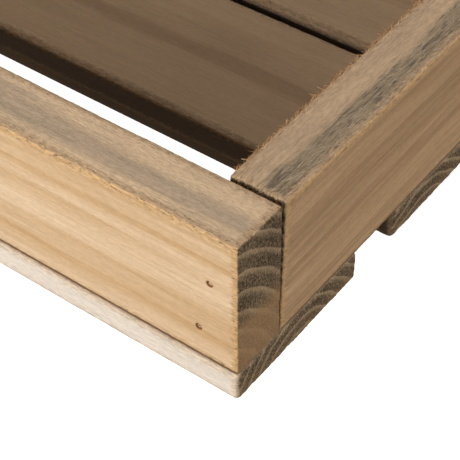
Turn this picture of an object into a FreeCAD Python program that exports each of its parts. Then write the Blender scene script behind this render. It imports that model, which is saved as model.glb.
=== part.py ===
"""A low wooden pull wagon: slatted tray, fixed rear axle, steering front truck and a hinged drawbar.

Row frame, millimetres: +Z up, the wagon pulls towards -Y, +X is its left side.
The origin is on the floor, at the middle of the whole wagon with its drawbar down.
"""
import FreeCAD
import Part
import math
import os

V = FreeCAD.Vector

# Tray
tray_width = 440.0
rail_height = 62.0
end_rail_thickness = 25.0
side_rail_thickness = 23.0
rail_edge_radius = 1.5
rail_end_gap = 1.0            # between a side rail's sawn end and the end rail it butts
slat_thickness = 14.0
slat_width = 76.0
slat_gap = 6.0
slat_edge_radius = 2.0
end_slat_width = 75.5
end_slat_gap = 24.5
middle_slats = 7

# Nails
nail_radius = 0.9
nail_head_radius = 1.5
nail_head_thickness = 0.9
nail_sink = 0.8               # how far a head is driven below the wood
corner_nail_length = 48.0
corner_nails_at = ((11.5, 39.0), (16.5, 15.0))   # inset from the corner, height up the rail
slat_nail_length = 40.0
slat_nail_margin = 18.0       # from a slat's long edge
end_rail_nails = 3            # along each end rail, up through the end slat

# Wood screws
screw_radius = 2.0
screw_head_radius = 4.0
screw_tip = 4.0
screw_point_radius = 0.4
screw_cover = 3.0             # wood left beyond a screw's point
grip_screw_sink = 1.5
grip_screw_length = 25.0
recess_length = 4.6
recess_width = 1.0
recess_depth = 1.1

# Undercarriage
runner_width = 24.0
runner_height = 16.0
runner_spacing = 100.0        # between the two runners' centre lines
bolster_width = 56.0
bolster_thickness = 18.0
bolster_wheel_gap = 12.0      # left free for the wheels when they are steered
bolster_screw_margin = 10.0   # from a bolster's long edge
axle_block_width = 40.0
axle_block_below = 13.0       # from the axle's centre line down to the block's underside
axle_cover = 4.0              # wood over the axle, under the kingpin nut's pocket
block_edge_radius = 2.0
block_screw_inset = 52.0      # from the rear block's ends
block_screw_margin = 9.0      # from the rear block's long edge

# Wheels
wheel_radius = 50.0
wheel_width = 24.0
wheel_clearance = 8.0         # from a tyre's top to the slats above it
wheel_inset = 66.0            # from the tray's side to a tyre's outer face
tyre_depth = 6.0
tyre_shoulder = 2.5
disc_chamfer = 1.0
disc_web_recess = 4.0
disc_rim = 9.0
disc_slope = 3.0              # run of the slopes from the rim and the hub to the web
hub_boss_radius = 15.0
bush_radius = 8.0
bush_flange = 1.0             # how far the bush stands out of the hub at each side
axle_radius = 5.0
running_clearance = 0.08
washer_thickness = 1.5
washer_radius = 10.0
cap_radius = 9.0
cap_height = 7.0
cap_socket = 4.2              # how deep an axle end sits in its cap
side_play = 0.3

# Turntable and steering arm
upper_plate_thickness = 3.0
arm_thickness = 4.0
plate_radius = 50.0
turntable_gap = 0.3
kingpin_radius = 5.0
kingpin_head_radius = 11.0
kingpin_head_height = 5.0
nut_clearance = 0.2
kingpin_nut_height = 6.0
kingpin_nut_flats = 17.0
nut_pocket_radius = 12.5
nut_pocket_margin = 1.2
nut_chamfer = 0.96            # a nut's flat top, as a share of its width across flats
plate_screw_x = 26.0
plate_screw_y = 14.0
arm_screw_length = 20.0
arm_block_gap = 1.0           # between the arm's cheeks and the axle block
arm_nose_radius = 14.0
steer_limit = 30.0            # degrees each way

# Drawbar
pole_thickness = 24.0
pole_height = 38.0
pole_length = 620.0           # pivot to grip
pole_heel = 30.0              # behind the pivot, under the steering arm's web
pole_edge_radius = 2.5
heel_clearance = 0.3
pole_side_clearance = 0.4
pole_tray_clearance = 4.0     # between the raised pole and the tray's end at full steer
web_clearance = 2.5
pivot_radius = 4.0
pivot_bush_radius = 6.0
pivot_head_height = 5.3
pivot_flats = 13.0
pivot_washer_radius = 8.0
pivot_thread_spare = 2.5
grip_radius = 12.0
grip_length = 150.0
grip_end_radius = 5.0

# Solving and picking
rest_angle_rounds = 20        # the drawbar's rest angle settles well within these
nearly_parallel = 0.999       # cosine above which an edge or a face counts as lying along an axis

# Worked out from the values above
tray_length = (2 * (end_slat_width + end_slat_gap) + middle_slats * slat_width
               + (middle_slats - 1) * slat_gap)
axle_inset = end_slat_width + end_slat_gap + slat_width + slat_gap / 2
truck_height = (axle_radius + axle_cover + nut_pocket_margin + kingpin_nut_height + nut_clearance
                + arm_thickness + turntable_gap + upper_plate_thickness + bolster_thickness
                + runner_height)
slat_bottom = wheel_radius + max(wheel_radius + wheel_clearance, truck_height)
slat_top = slat_bottom + slat_thickness
rail_top = slat_top + rail_height
runner_bottom = slat_bottom - runner_height
bolster_bottom = runner_bottom - bolster_thickness
upper_plate_bottom = bolster_bottom - upper_plate_thickness
arm_top = upper_plate_bottom - turntable_gap
arm_bottom = arm_top - arm_thickness
block_bottom = wheel_radius - axle_block_below
wheel_x = tray_width / 2 - wheel_inset - wheel_width / 2
hub_half_width = wheel_width / 2 + bush_flange
inner_washer_x = wheel_x - hub_half_width - side_play
block_half_length = inner_washer_x - washer_thickness
outer_washer_x = wheel_x + hub_half_width + side_play + washer_thickness
bolster_half_length = math.sqrt((wheel_x - wheel_width / 2 - bolster_wheel_gap) ** 2
                                - (bolster_width / 2) ** 2)
cheek_x = pole_thickness / 2 + pole_side_clearance + arm_thickness

steer = math.radians(steer_limit)
raised_pole_reach = pole_height / 2 * math.cos(steer) + pole_thickness / 2 * math.sin(steer)
arm_reach = (axle_inset + raised_pole_reach + pole_tray_clearance) / math.cos(steer)
grip_z = pole_height / 2


def heel_top(angle, pivot_height):
    """Height of the pole's top rear corner when the pole hangs down by angle."""
    return pivot_height + pole_height / 2 * math.cos(angle) + pole_heel * math.sin(angle)


# The pivot sits where the heel just clears the web while the grip end rests on the floor.
pivot_z = arm_bottom - heel_clearance - pole_height / 2
for _ in range(rest_angle_rounds):
    rest_angle = math.asin((pivot_z - grip_z) / pole_length)
    pivot_z -= heel_top(rest_angle, pivot_z) - (arm_bottom - heel_clearance)

overall_length = (tray_length - axle_inset + arm_reach
                  + pole_length * math.cos(rest_angle) + pole_height / 2)
tray_rear = overall_length / 2
tray_front = tray_rear - tray_length
kingpin_y = tray_front + axle_inset
rear_axle_y = tray_rear - axle_inset
pivot_y = kingpin_y - arm_reach
grip_y = pivot_y - pole_length * math.cos(rest_angle)
lift_limit = 90.0 + math.degrees(rest_angle)


def block(x0, x1, y0, y1, z0, z1):
    """A box from its two corners."""
    return Part.makeBox(x1 - x0, y1 - y0, z1 - z0, V(x0, y0, z0))


def rounded(shape, radius, along):
    """Fillets the straight edges that run along one axis."""
    edges = [e for e in shape.Edges
             if e.Length > 4 * radius and abs(e.tangentAt(e.FirstParameter).dot(along)) > nearly_parallel]
    return shape.makeFillet(radius, edges)


def cylinder(radius, length, base, axis):
    return Part.makeCylinder(radius, length, base, axis)


def prism(flats, height, base, axis):
    """A hexagonal bolt head or nut, by its width across flats, chamfered at its far end."""
    corner = flats / math.sqrt(3)
    points = [V(corner * math.cos(math.radians(60 * k)), corner * math.sin(math.radians(60 * k)), 0)
              for k in range(7)]
    top_radius = flats / 2 * nut_chamfer
    slope = corner + height - top_radius
    hexagon = Part.Face(Part.makePolygon(points)).extrude(V(0, 0, height)).common(
        Part.makeCone(corner + height, top_radius, slope, V(0, 0, height - slope)))
    hexagon.Placement = FreeCAD.Placement(base, FreeCAD.Rotation(V(0, 0, 1), axis))
    return hexagon


def turned(points, centre_x, y, z):
    """A solid of revolution about X: points are (offset along X, radius) pairs, in order."""
    wire = Part.makePolygon([V(x, 0, r) for x, r in points + points[:1]])
    solid = Part.Face(wire).revolve(V(0, 0, 0), V(1, 0, 0), 360)
    solid.translate(V(centre_x, y, z))
    return solid


def nail(head_at, direction, length):
    """A driven nail: its head's outer face is at head_at, and it points along direction."""
    return cylinder(nail_head_radius, nail_head_thickness, head_at, direction).fuse(
        cylinder(nail_radius, length, head_at, direction))


def nail_hole(face_at, direction, length):
    """What a nail driven below the face at face_at takes out of the wood."""
    head_at = face_at + direction * nail_sink
    return nail(head_at, direction, length).fuse(
        cylinder(nail_head_radius, nail_sink, face_at, direction))


def screw_hole(head_at, direction, length):
    """A countersunk wood screw's outline, head face at head_at, without its recess."""
    head = Part.makeCone(screw_head_radius, screw_radius, screw_head_radius - screw_radius, head_at,
                         direction)
    shank = cylinder(screw_radius, length - screw_tip, head_at, direction)
    tip = Part.makeCone(screw_radius, screw_point_radius, screw_tip,
                        head_at + direction * (length - screw_tip), direction)
    return head.fuse([shank, tip]).removeSplitter()


def screw(head_at, direction, length):
    """The screw itself, with a crossed recess in its head."""
    body = screw_hole(head_at, direction, length)
    for turn in (0, 90):
        slot = block(-recess_length / 2, recess_length / 2, -recess_width / 2, recess_width / 2,
                     0, recess_depth)
        slot.rotate(V(0, 0, 0), V(0, 0, 1), turn)
        slot.Placement = FreeCAD.Placement(
            head_at, FreeCAD.Rotation(V(0, 0, 1), direction)).multiply(slot.Placement)
        body = body.cut(slot)
    return body


UP, DOWN, FORWARD, BACK = V(0, 0, 1), V(0, 0, -1), V(0, -1, 0), V(0, 1, 0)
LEFT = V(1, 0, 0)
half_width = tray_width / 2


def slat_spans():
    """(first y, last y) of every slat, from the front end to the rear end."""
    spans = [(tray_front, tray_front + end_slat_width)]
    y = tray_front + end_slat_width + end_slat_gap
    for _ in range(middle_slats):
        spans.append((y, y + slat_width))
        y += slat_width + slat_gap
    spans.append((tray_rear - end_slat_width, tray_rear))
    return spans


def corner_nail_places():
    """(face point, direction) of the nails through the end rails into the side rails' ends."""
    places = []
    for face_y, direction in ((tray_front, BACK), (tray_rear, FORWARD)):
        for side in (-1, 1):
            for inset, height in corner_nails_at:
                places.append((V(side * (half_width - inset), face_y, slat_top + height), direction))
    return places


def slat_nail_places():
    """Face points of the nails up through the slats into the rails."""
    places = []
    spans = slat_spans()
    for first, last in spans:
        for side in (-1, 1):
            for y in (first + slat_nail_margin, last - slat_nail_margin):
                places.append(V(side * (half_width - side_rail_thickness / 2), y, slat_bottom))
    for y in (tray_front + end_rail_thickness / 2, tray_rear - end_rail_thickness / 2):
        for k in range(end_rail_nails):
            x = (k + 1) * tray_width / (end_rail_nails + 1) - half_width
            places.append(V(x, y, slat_bottom))
    return places


def runner_screw_places():
    """Head points of the screws up through the runners into each slat over them."""
    places = []
    for first, last in slat_spans()[1:-1]:
        y = (first + last) / 2
        if abs(y - kingpin_y) < bolster_width or abs(y - rear_axle_y) < bolster_width:
            continue
        for side in (-1, 1):
            places.append(V(side * runner_spacing / 2, y, runner_bottom))
    return places


def bolster_screw_places():
    """Head points of the screws up through each bolster into the runners and slats."""
    spread = bolster_width / 2 - bolster_screw_margin
    return [V(side * runner_spacing / 2, axle_y + end * spread, bolster_bottom)
            for axle_y in (kingpin_y, rear_axle_y) for side in (-1, 1) for end in (-1, 1)]


def rear_block_screw_places():
    spread = axle_block_width / 2 - block_screw_margin
    x = block_half_length - block_screw_inset
    return [V(side * x, rear_axle_y + end * spread, block_bottom)
            for side in (-1, 1) for end in (-1, 1)]


def plate_screw_places(z):
    """Head points of a turntable plate's four screws."""
    return [V(side * plate_screw_x, kingpin_y + end * plate_screw_y, z)
            for side in (-1, 1) for end in (-1, 1)]


runner_screw_length = runner_height + slat_thickness - screw_cover
bolster_screw_length = bolster_thickness + runner_height + slat_thickness - screw_cover
rear_block_screw_length = bolster_bottom - block_bottom + bolster_thickness - screw_cover
upper_plate_screw_length = upper_plate_thickness + bolster_thickness - screw_cover

corner_holes = [nail_hole(at, way, corner_nail_length) for at, way in corner_nail_places()]
slat_holes = [nail_hole(at, UP, slat_nail_length) for at in slat_nail_places()]
runner_holes = [screw_hole(at, UP, runner_screw_length) for at in runner_screw_places()]
bolster_holes = [screw_hole(at, UP, bolster_screw_length) for at in bolster_screw_places()]
rear_block_holes = [screw_hole(at, UP, rear_block_screw_length)
                    for at in rear_block_screw_places()]
upper_plate_holes = [screw_hole(at, UP, upper_plate_screw_length)
                     for at in plate_screw_places(upper_plate_bottom)]
arm_holes = [screw_hole(at, DOWN, arm_screw_length) for at in plate_screw_places(arm_top)]


def drilled(shape, tools):
    """Cuts only the tools that reach the shape."""
    box = shape.BoundBox
    near = [t for t in tools if t.BoundBox.intersect(box)]
    return shape.cut(near) if near else shape


def end_rail(outer_y, inwards):
    inner_y = outer_y + inwards * end_rail_thickness
    board = block(-half_width, half_width, min(outer_y, inner_y), max(outer_y, inner_y),
                  slat_top, rail_top)
    return drilled(rounded(board, rail_edge_radius, LEFT), corner_holes + slat_holes)


def side_rail(side):
    reach = end_rail_thickness + rail_end_gap
    inner_x = side * (half_width - side_rail_thickness)
    outer_x = side * half_width
    board = block(min(inner_x, outer_x), max(inner_x, outer_x), tray_front + reach,
                  tray_rear - reach, slat_top, rail_top)
    return drilled(rounded(board, rail_edge_radius, BACK), corner_holes + slat_holes)


def slat(first, last):
    board = block(-half_width, half_width, first, last, slat_bottom, slat_top)
    return drilled(rounded(board, slat_edge_radius, LEFT),
                   slat_holes + runner_holes + bolster_holes)


def runner(side):
    """A lengthwise batten that ties the middle slats together and carries both bolsters."""
    x = side * runner_spacing / 2
    batten = block(x - runner_width / 2, x + runner_width / 2, kingpin_y - bolster_width / 2,
                   rear_axle_y + bolster_width / 2, runner_bottom, slat_bottom)
    return drilled(rounded(batten, block_edge_radius, BACK), runner_holes + bolster_holes)


def bolster(axle_y):
    """A flat crosswise board under the runners."""
    board = block(-bolster_half_length, bolster_half_length, axle_y - bolster_width / 2,
                  axle_y + bolster_width / 2, bolster_bottom, runner_bottom)
    board = rounded(board, block_edge_radius, LEFT)
    tools = bolster_holes + rear_block_holes + upper_plate_holes
    if axle_y == kingpin_y:
        tools = tools + [cylinder(kingpin_radius, bolster_thickness, V(0, axle_y, bolster_bottom), UP)]
    return drilled(board, tools)


def axle_block(axle_y, top, tools):
    """The crosswise block that a steel axle runs through."""
    body = block(-block_half_length, block_half_length, axle_y - axle_block_width / 2,
                 axle_y + axle_block_width / 2, block_bottom, top)
    body = rounded(body, block_edge_radius, LEFT)
    bore = cylinder(axle_radius, 2 * block_half_length, V(-block_half_length, axle_y, wheel_radius),
                    LEFT)
    return drilled(body, tools + [bore])


def front_axle_block():
    nut_bottom = arm_bottom - nut_clearance - kingpin_nut_height
    pocket_floor = nut_bottom - nut_pocket_margin
    pocket = cylinder(nut_pocket_radius, arm_bottom - pocket_floor, V(0, kingpin_y, pocket_floor), UP)
    return axle_block(kingpin_y, arm_bottom, arm_holes + [pocket])


def axle(axle_y):
    half = outer_washer_x + cap_socket
    return cylinder(axle_radius, 2 * half, V(-half, axle_y, wheel_radius), LEFT)


def axle_washers(axle_y):
    """One washer at each side of each wheel."""
    rings = []
    for inner_x in (inner_washer_x - washer_thickness, outer_washer_x - washer_thickness):
        for side in (-1, 1):
            x = inner_x if side > 0 else -inner_x - washer_thickness
            base = V(x, axle_y, wheel_radius)
            rings.append(cylinder(washer_radius, washer_thickness, base, LEFT).cut(
                cylinder(axle_radius, washer_thickness, base, LEFT)))
    return Part.makeCompound(rings)


def axle_caps(axle_y):
    """Domed push-on caps that keep the wheels on."""
    caps = []
    for side in (-1, 1):
        dome_radius = (cap_radius ** 2 + cap_height ** 2) / (2 * cap_height)
        dome = Part.makeSphere(dome_radius, V(cap_height - dome_radius, 0, 0)).common(
            cylinder(cap_radius, cap_height, V(0, 0, 0), LEFT))
        dome = dome.cut(cylinder(axle_radius, cap_socket, V(0, 0, 0), LEFT))
        if side < 0:
            dome.rotate(V(0, 0, 0), UP, 180)
        dome.translate(V(side * outer_washer_x, axle_y, wheel_radius))
        caps.append(dome)
    return Part.makeCompound(caps)


def wheel_disc(x, axle_y):
    """A turned wooden wheel with a rim, a thinner web and a hub."""
    half, web = wheel_width / 2, wheel_width / 2 - disc_web_recess
    radius, rim = wheel_radius - tyre_depth, wheel_radius - tyre_depth - disc_rim
    outwards = [(half - disc_chamfer, radius), (half, radius - disc_chamfer), (half, rim),
                (web, rim - disc_slope), (web, hub_boss_radius + disc_slope),
                (half, hub_boss_radius), (half, bush_radius)]
    inwards = [(-offset, r) for offset, r in reversed(outwards)]
    return turned(inwards + outwards, x, axle_y, wheel_radius)


def tyre(x, axle_y):
    """A rubber band with rounded shoulders."""
    half, inner = wheel_width / 2, wheel_radius - tyre_depth
    ring = cylinder(wheel_radius, wheel_width, V(x - half, axle_y, wheel_radius), LEFT)
    rims = [e for e in ring.Edges if e.Length > wheel_radius and e.Closed]
    ring = ring.makeFillet(tyre_shoulder, rims)
    return ring.cut(cylinder(inner, wheel_width, V(x - half, axle_y, wheel_radius), LEFT))


def hub_bush(x, axle_y):
    base = V(x - hub_half_width, axle_y, wheel_radius)
    return cylinder(bush_radius, 2 * hub_half_width, base, LEFT).cut(
        cylinder(axle_radius + running_clearance, 2 * hub_half_width, base, LEFT))


def upper_plate():
    base = V(0, kingpin_y, upper_plate_bottom)
    plate = cylinder(plate_radius, upper_plate_thickness, base, UP)
    plate = plate.common(block(-plate_radius, plate_radius, kingpin_y - bolster_width / 2,
                               kingpin_y + bolster_width / 2, upper_plate_bottom, bolster_bottom))
    return drilled(plate, upper_plate_holes + [cylinder(kingpin_radius, upper_plate_thickness, base, UP)])


def steering_arm():
    """A folded steel plate: turntable disc, a web that reaches out in front, and two cheeks."""
    disc = cylinder(plate_radius, arm_thickness, V(0, kingpin_y, arm_bottom), UP)
    disc = disc.common(block(-plate_radius, plate_radius, kingpin_y - axle_block_width / 2,
                             kingpin_y + axle_block_width / 2, arm_bottom, arm_top))
    web_front = pivot_y + pole_height / 2 + web_clearance
    parts = [block(-cheek_x, cheek_x, web_front, kingpin_y, arm_bottom, arm_top)]
    cheek_rear = kingpin_y - axle_block_width / 2 - arm_block_gap
    cheek_bottom = pivot_z - arm_nose_radius
    outline = [V(0, pivot_y, cheek_bottom), V(0, cheek_rear, cheek_bottom),
               V(0, cheek_rear, arm_top), V(0, web_front, arm_top),
               V(0, pivot_y, pivot_z + arm_nose_radius), V(0, pivot_y, cheek_bottom)]
    for x in (-cheek_x, cheek_x - arm_thickness):
        cheek = Part.Face(Part.makePolygon(outline)).extrude(V(arm_thickness, 0, 0))
        nose = cylinder(arm_nose_radius, arm_thickness, V(0, pivot_y, pivot_z), LEFT)
        for piece in (cheek, nose):
            piece.translate(V(x, 0, 0))
            parts.append(piece)
    arm = disc.fuse(parts).removeSplitter()
    bolt = cylinder(pivot_radius, 2 * cheek_x, V(-cheek_x, pivot_y, pivot_z), LEFT)
    pin = cylinder(kingpin_radius + running_clearance, arm_thickness, V(0, kingpin_y, arm_bottom), UP)
    return drilled(arm, arm_holes + [bolt, pin])


def kingpin():
    """A round-headed bolt down through the front bolster and both plates."""
    end_z = arm_bottom - nut_clearance - kingpin_nut_height
    head_radius = (kingpin_head_radius ** 2 + kingpin_head_height ** 2) / (2 * kingpin_head_height)
    head = Part.makeSphere(head_radius, V(0, kingpin_y, runner_bottom + kingpin_head_height
                                          - head_radius)).common(
        cylinder(kingpin_head_radius, kingpin_head_height, V(0, kingpin_y, runner_bottom), UP))
    shank = cylinder(kingpin_radius, runner_bottom - end_z, V(0, kingpin_y, end_z), UP)
    return head.fuse(shank).removeSplitter()


def kingpin_nut():
    bottom = V(0, kingpin_y, arm_bottom - nut_clearance - kingpin_nut_height)
    nut = prism(kingpin_nut_flats, kingpin_nut_height, bottom, UP)
    return nut.cut(cylinder(kingpin_radius, kingpin_nut_height, bottom, UP))


def drawbar_pole():
    """The wooden pole, drawn level about the pivot and then hung at its rest angle."""
    half_h, half_t = pole_height / 2, pole_thickness / 2
    shaft = block(-half_t, half_t, -pole_length, pole_heel, -half_h, half_h)
    tip = cylinder(half_h, pole_thickness, V(-half_t, -pole_length, 0), LEFT)
    pole = shaft.fuse(tip).removeSplitter()
    outline = [e for face in pole.Faces if abs(face.normalAt(0, 0).x) > nearly_parallel
               for e in face.Edges]
    pole = pole.makeFillet(pole_edge_radius, outline)
    bores = [cylinder(pivot_bush_radius, pole_thickness, V(-half_t, 0, 0), LEFT),
             cylinder(grip_radius, pole_thickness, V(-half_t, -pole_length, 0), LEFT),
             cylinder(screw_head_radius, grip_screw_sink, V(0, -pole_length - half_h, 0), BACK),
             grip_screw_shape(screw_hole)]
    return hung(pole.cut(bores))


def hung(shape):
    """Turns a drawbar piece about the pivot to its rest angle and puts it in its place."""
    shape.rotate(V(0, 0, 0), LEFT, math.degrees(rest_angle))
    shape.translate(V(0, pivot_y, pivot_z))
    return shape


def grip_screw_shape(maker):
    """The screw that locks the grip, in through the pole's rounded end."""
    head_y = -pole_length - pole_height / 2 + grip_screw_sink
    return maker(V(0, head_y, 0), BACK, grip_screw_length)


def grip_bar():
    bar = cylinder(grip_radius, grip_length, V(-grip_length / 2, -pole_length, 0), LEFT)
    bar = bar.makeFillet(grip_end_radius, [e for e in bar.Edges if e.Closed and e.Length > grip_radius])
    return hung(bar.cut(grip_screw_shape(screw_hole)))


def pivot_bush():
    half_t = pole_thickness / 2
    sleeve = cylinder(pivot_bush_radius, pole_thickness, V(-half_t, 0, 0), LEFT)
    return hung(sleeve.cut(cylinder(pivot_radius + running_clearance, pole_thickness,
                                    V(-half_t, 0, 0), LEFT)))


def pivot_bolt():
    """A hexagon bolt through both cheeks and the pole's bush."""
    head_x = cheek_x + washer_thickness
    tail = -cheek_x - washer_thickness - pivot_head_height - pivot_thread_spare
    shank = cylinder(pivot_radius, head_x - tail, V(tail, pivot_y, pivot_z), LEFT)
    head = prism(pivot_flats, pivot_head_height, V(head_x, pivot_y, pivot_z), LEFT)
    return shank.fuse(head).removeSplitter()


def pivot_nut():
    at = V(-cheek_x - washer_thickness, pivot_y, pivot_z)
    nut = prism(pivot_flats, pivot_head_height, at, V(-1, 0, 0))
    return nut.cut(cylinder(pivot_radius, 2 * pivot_head_height, at - LEFT * 2 * pivot_head_height, LEFT))


def pivot_washers():
    rings = []
    for x in (cheek_x, -cheek_x - washer_thickness):
        base = V(x, pivot_y, pivot_z)
        rings.append(cylinder(pivot_washer_radius, washer_thickness, base, LEFT).cut(
            cylinder(pivot_radius, washer_thickness, base, LEFT)))
    return Part.makeCompound(rings)


def group(shapes):
    return Part.makeCompound(shapes)


def build():
    """Every node of the wagon, by name."""
    nodes = {
        "end_rail_front": end_rail(tray_front, 1),
        "end_rail_rear": end_rail(tray_rear, -1),
        "side_rail_left": side_rail(1),
        "side_rail_right": side_rail(-1),
        "corner_nails": group([nail(at + way * nail_sink, way, corner_nail_length)
                               for at, way in corner_nail_places()]),
        "slat_nails": group([nail(at + UP * nail_sink, UP, slat_nail_length)
                             for at in slat_nail_places()]),
        "runner_left": runner(1),
        "runner_right": runner(-1),
        "runner_screws": group([screw(at, UP, runner_screw_length)
                                for at in runner_screw_places()]),
        "bolster_front": bolster(kingpin_y),
        "bolster_rear": bolster(rear_axle_y),
        "bolster_screws": group([screw(at, UP, bolster_screw_length)
                                 for at in bolster_screw_places()]),
        "axle_block_rear": axle_block(rear_axle_y, bolster_bottom, rear_block_holes),
        "axle_block_rear_screws": group([screw(at, UP, rear_block_screw_length)
                                         for at in rear_block_screw_places()]),
        "axle_block_front": front_axle_block(),
        "turntable_plate": upper_plate(),
        "turntable_plate_screws": group([screw(at, UP, upper_plate_screw_length)
                                         for at in plate_screw_places(upper_plate_bottom)]),
        "steering_arm": steering_arm(),
        "steering_arm_screws": group([screw(at, DOWN, arm_screw_length)
                                      for at in plate_screw_places(arm_top)]),
        "kingpin": kingpin(),
        "kingpin_nut": kingpin_nut(),
        "drawbar_pole": drawbar_pole(),
        "drawbar_bush": pivot_bush(),
        "drawbar_bolt": pivot_bolt(),
        "drawbar_nut": pivot_nut(),
        "drawbar_washers": pivot_washers(),
        "grip_bar": grip_bar(),
        "grip_screw": hung(grip_screw_shape(screw)),
    }
    for number, (first, last) in enumerate(slat_spans(), 1):
        nodes[f"slat_{number}"] = slat(first, last)
    for end, axle_y in (("front", kingpin_y), ("rear", rear_axle_y)):
        nodes[f"axle_{end}"] = axle(axle_y)
        nodes[f"axle_washers_{end}"] = axle_washers(axle_y)
        nodes[f"axle_caps_{end}"] = axle_caps(axle_y)
        for side, x in (("left", wheel_x), ("right", -wheel_x)):
            nodes[f"wheel_{end}_{side}"] = wheel_disc(x, axle_y)
            nodes[f"tyre_{end}_{side}"] = tyre(x, axle_y)
            nodes[f"hub_bush_{end}_{side}"] = hub_bush(x, axle_y)
    return nodes


def export(nodes):
    os.makedirs("parts", exist_ok=True)
    for name, shape in nodes.items():
        shape.exportStep(f"parts/{name}.step")


export(build())
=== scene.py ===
import math

import bpy
import numpy as np
from mathutils import Matrix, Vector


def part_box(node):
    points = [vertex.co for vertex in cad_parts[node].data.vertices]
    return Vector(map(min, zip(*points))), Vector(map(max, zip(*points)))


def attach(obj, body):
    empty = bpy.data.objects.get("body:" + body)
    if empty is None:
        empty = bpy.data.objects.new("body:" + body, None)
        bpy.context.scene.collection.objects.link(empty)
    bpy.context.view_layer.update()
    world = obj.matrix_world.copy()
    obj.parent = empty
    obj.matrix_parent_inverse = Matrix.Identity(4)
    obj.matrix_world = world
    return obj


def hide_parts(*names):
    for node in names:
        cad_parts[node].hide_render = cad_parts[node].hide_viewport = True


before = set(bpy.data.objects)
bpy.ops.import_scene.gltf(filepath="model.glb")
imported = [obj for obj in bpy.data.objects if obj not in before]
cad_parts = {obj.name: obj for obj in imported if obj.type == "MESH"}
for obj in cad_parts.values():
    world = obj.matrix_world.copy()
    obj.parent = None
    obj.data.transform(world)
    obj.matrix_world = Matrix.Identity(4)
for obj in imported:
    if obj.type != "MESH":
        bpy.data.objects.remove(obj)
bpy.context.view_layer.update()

# ---------------------------------------------------------------------------
# The view. The camera looks down on the wagon's right rear corner, where the end rail is nailed
# over the side rail's end. A long lens, turned a little, with no shift.
rail_low, rail_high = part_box("end_rail_rear")
corner = np.array((rail_low.x, rail_high.y, rail_low.z))

camera_from_corner = (-0.19372, 0.263107, 0.391256)
camera_heading = math.radians(-36.78)
camera_dip = math.radians(44.46)
camera_roll = math.radians(-0.34)
camera_lens = 115.8


def aimed(offset, way, roll=0.0):
    """A camera's or lamp's stand: offset from the corner, looking along way, then rolled."""
    forward = np.array(way) / np.linalg.norm(way)
    sideways = np.cross(forward, (0.0, 0.0, 1.0))
    sideways /= np.linalg.norm(sideways)
    rolled = math.cos(roll) * sideways + math.sin(roll) * np.cross(sideways, forward)
    stand = np.identity(4)
    stand[:3, :3] = np.stack([rolled, np.cross(-forward, rolled), -forward], axis=1)
    stand[:3, 3] = corner + offset
    return Matrix(stand.tolist())


camera_data = bpy.data.cameras.new("corner_view")
camera_data.lens = camera_lens
camera_data.sensor_width = 36.0
camera_data.clip_start = 0.02
camera_data.clip_end = 20.0
camera = bpy.data.objects.new("corner_view", camera_data)
camera.matrix_world = aimed(camera_from_corner, (
    -math.sin(camera_heading) * math.cos(camera_dip),
    -math.cos(camera_heading) * math.cos(camera_dip), -math.sin(camera_dip)), camera_roll)
bpy.context.collection.objects.link(camera)
bpy.context.scene.camera = camera

# ---------------------------------------------------------------------------
# The studio. A white sweep under the wagon, one broad key light behind its rear end rail and
# weaker ones over the tray and beside it. The surround looks white but lights it only dimly.
view_settings = bpy.context.scene.view_settings
view_settings.view_transform = "Standard"
view_settings.look = "None"

floor_half = 6.0
floor_mesh = bpy.data.meshes.new("studio_floor")
floor_mesh.from_pydata([(x * floor_half, y * floor_half, 0.0)
                        for x, y in ((-1, -1), (1, -1), (1, 1), (-1, 1))], [], [(0, 1, 2, 3)])
floor = bpy.data.objects.new("studio_floor", floor_mesh)
bpy.context.collection.objects.link(floor)


def node_material(name):
    """A node material and its tree, empty but for the output."""
    material = bpy.data.materials.new(name)
    material.use_nodes = True
    tree = material.node_tree
    tree.nodes.clear()
    tree.nodes.new("ShaderNodeOutputMaterial")
    return material, tree


def add(tree, kind, links=None, **settings):
    """Adds a node. settings are its own properties; links gives each input a value or a socket."""
    node = tree.nodes.new(kind)
    for key, value in settings.items():
        setattr(node, key, value)
    for key, value in (links or {}).items():
        if isinstance(value, bpy.types.NodeSocket):
            tree.links.new(value, node.inputs[key])
        else:
            node.inputs[key].default_value = value
    return node


def output_of(tree):
    return next(n for n in tree.nodes if n.type == "OUTPUT_MATERIAL")


sweep, tree = node_material("studio_sweep")
paper = add(tree, "ShaderNodeBsdfDiffuse", {"Color": (0.8, 0.8, 0.8, 1.0)})
dim_paper = add(tree, "ShaderNodeBsdfDiffuse", {"Color": (0.16, 0.145, 0.13, 1.0)})
glow = add(tree, "ShaderNodeEmission", {"Color": (1.0, 1.0, 1.0, 1.0), "Strength": 0.84})
seen = add(tree, "ShaderNodeAddShader", {0: paper.outputs[0], 1: glow.outputs[0]})
looking = add(tree, "ShaderNodeLightPath").outputs["Is Camera Ray"]
floor_mix = add(tree, "ShaderNodeMixShader", {0: looking, 1: dim_paper.outputs[0],
                                              2: seen.outputs[0]})
tree.links.new(floor_mix.outputs[0], output_of(tree).inputs["Surface"])
floor_mesh.materials.append(sweep)

world = bpy.data.worlds.new("studio")
world.use_nodes = True
sky = world.node_tree
toward = add(sky, "ShaderNodeTexCoord").outputs["Generated"]
rise = add(sky, "ShaderNodeSeparateXYZ", {0: toward}).outputs["Z"]
dome = add(sky, "ShaderNodeMapRange", {"Value": rise, "From Min": -0.05, "From Max": 0.55,
                                       "To Min": 0.0025, "To Max": 0.0165}).outputs[0]
looking = add(sky, "ShaderNodeLightPath").outputs["Is Camera Ray"]
whiter = add(sky, "ShaderNodeMath", {0: looking, 1: dome}, operation="MAXIMUM").outputs[0]
sky.nodes["Background"].inputs["Color"].default_value = (1.0, 1.0, 1.0, 1.0)
sky.links.new(whiter, sky.nodes["Background"].inputs["Strength"])
bpy.context.scene.world = world


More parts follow.
